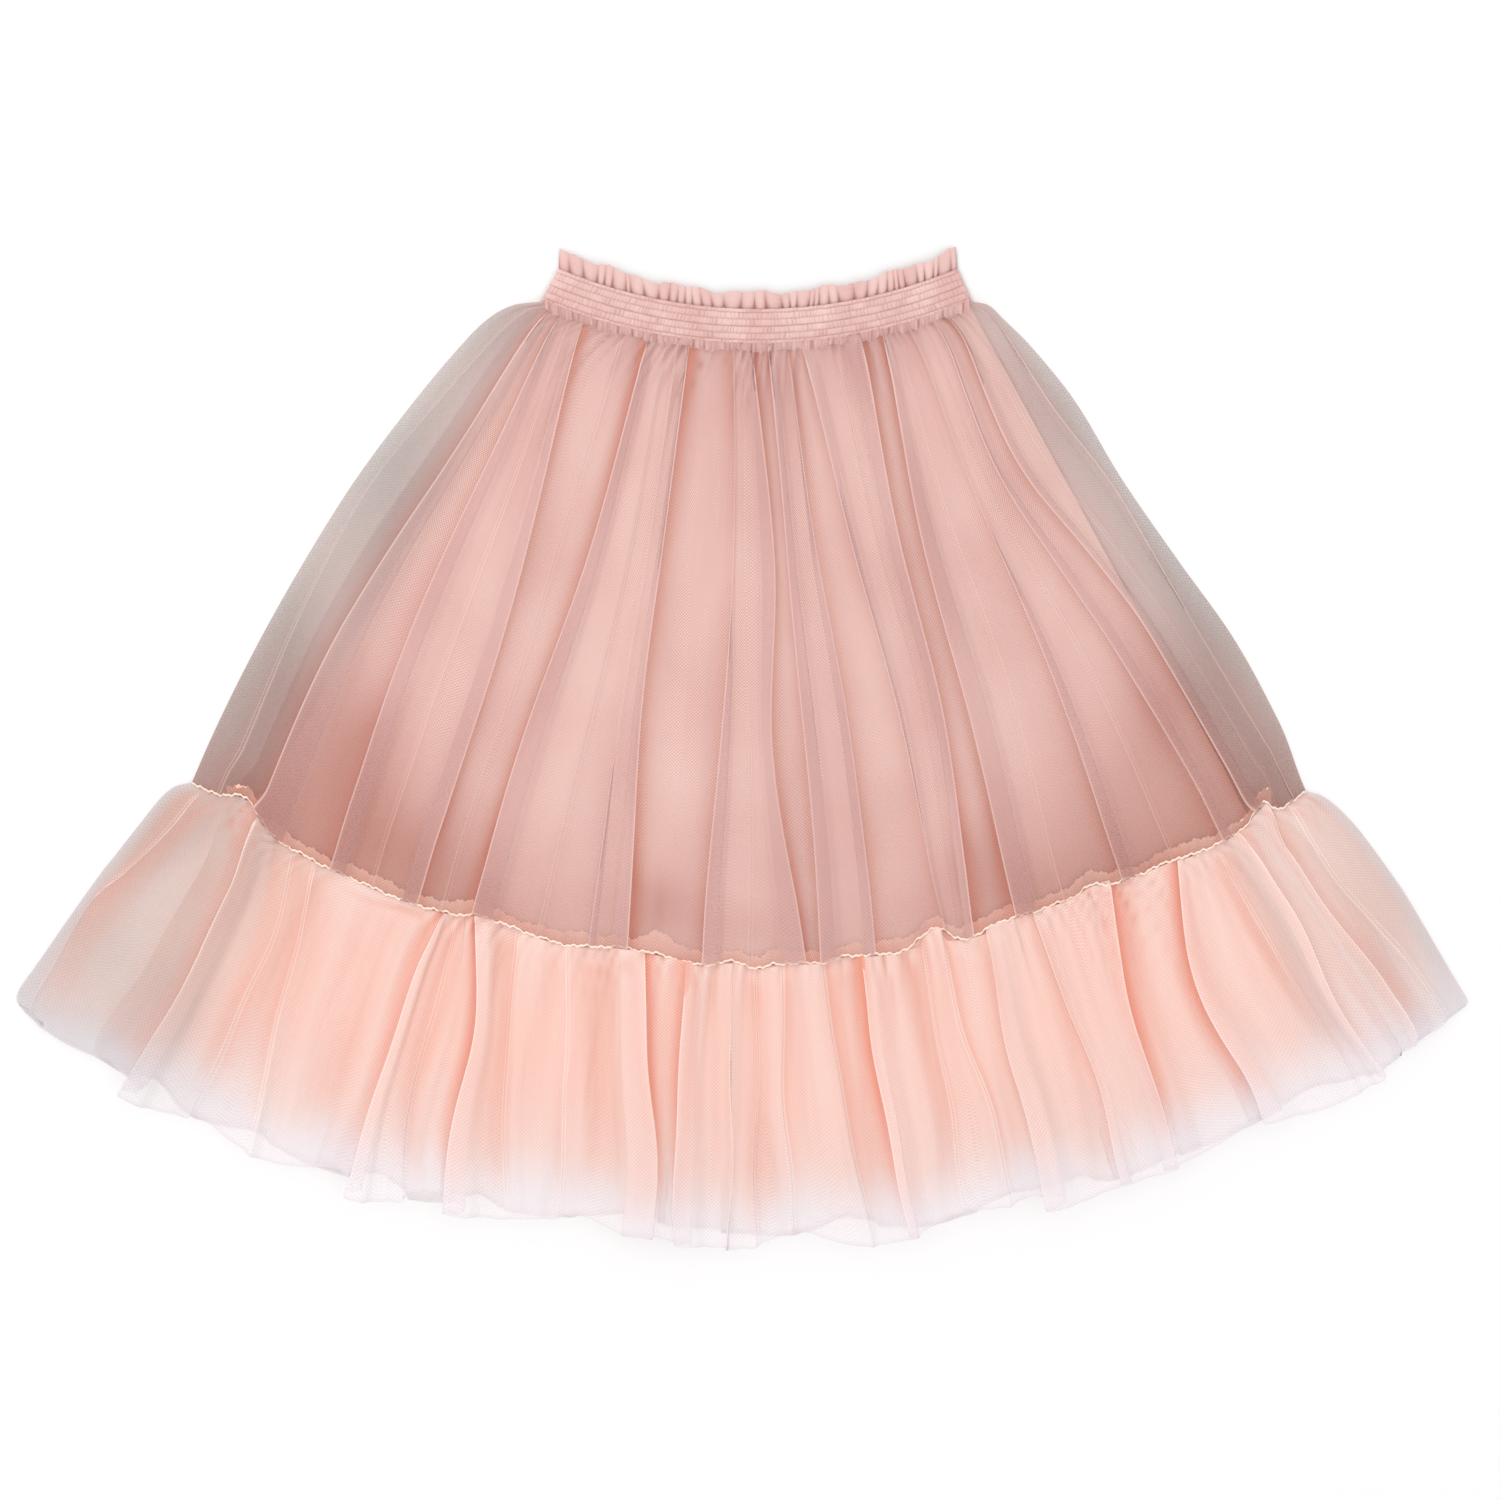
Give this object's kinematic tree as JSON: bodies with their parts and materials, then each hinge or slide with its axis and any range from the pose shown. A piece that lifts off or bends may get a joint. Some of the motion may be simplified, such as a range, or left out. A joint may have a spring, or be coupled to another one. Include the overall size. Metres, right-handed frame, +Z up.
{
  "type": "tulle skirt",
  "caption": "Full sheer gathered skirt over a lining, with a shirred elastic waistband, a frilled heading and a deep gathered flounce, laid flat.",
  "frame": {"origin": "centre of the bounding box in plan, on the surface that the skirt lies on", "axes": "+X across the skirt, to the right as seen from above; +Y from the hem towards the waist; +Z up from the surface"},
  "size_m": [0.872, 0.5967, 0.0233],
  "materials": {
    "tulle": "sheer dusty-pink tulle",
    "flounce_tulle": "sheer pale-pink tulle",
    "lining": "light woven peach cloth",
    "band": "shirred pink cotton over elastic"
  },
  "bodies": {
    "root": {"skirt_front": "tulle", "skirt_back": "tulle", "lining_front": "lining", "lining_back": "lining", "flounce_front": "flounce_tulle", "flounce_back": "flounce_tulle", "under_flounce_front": "lining", "under_flounce_back": "lining", "waistband": "band", "waist_frill": "band"}
  },
  "joints": []
}
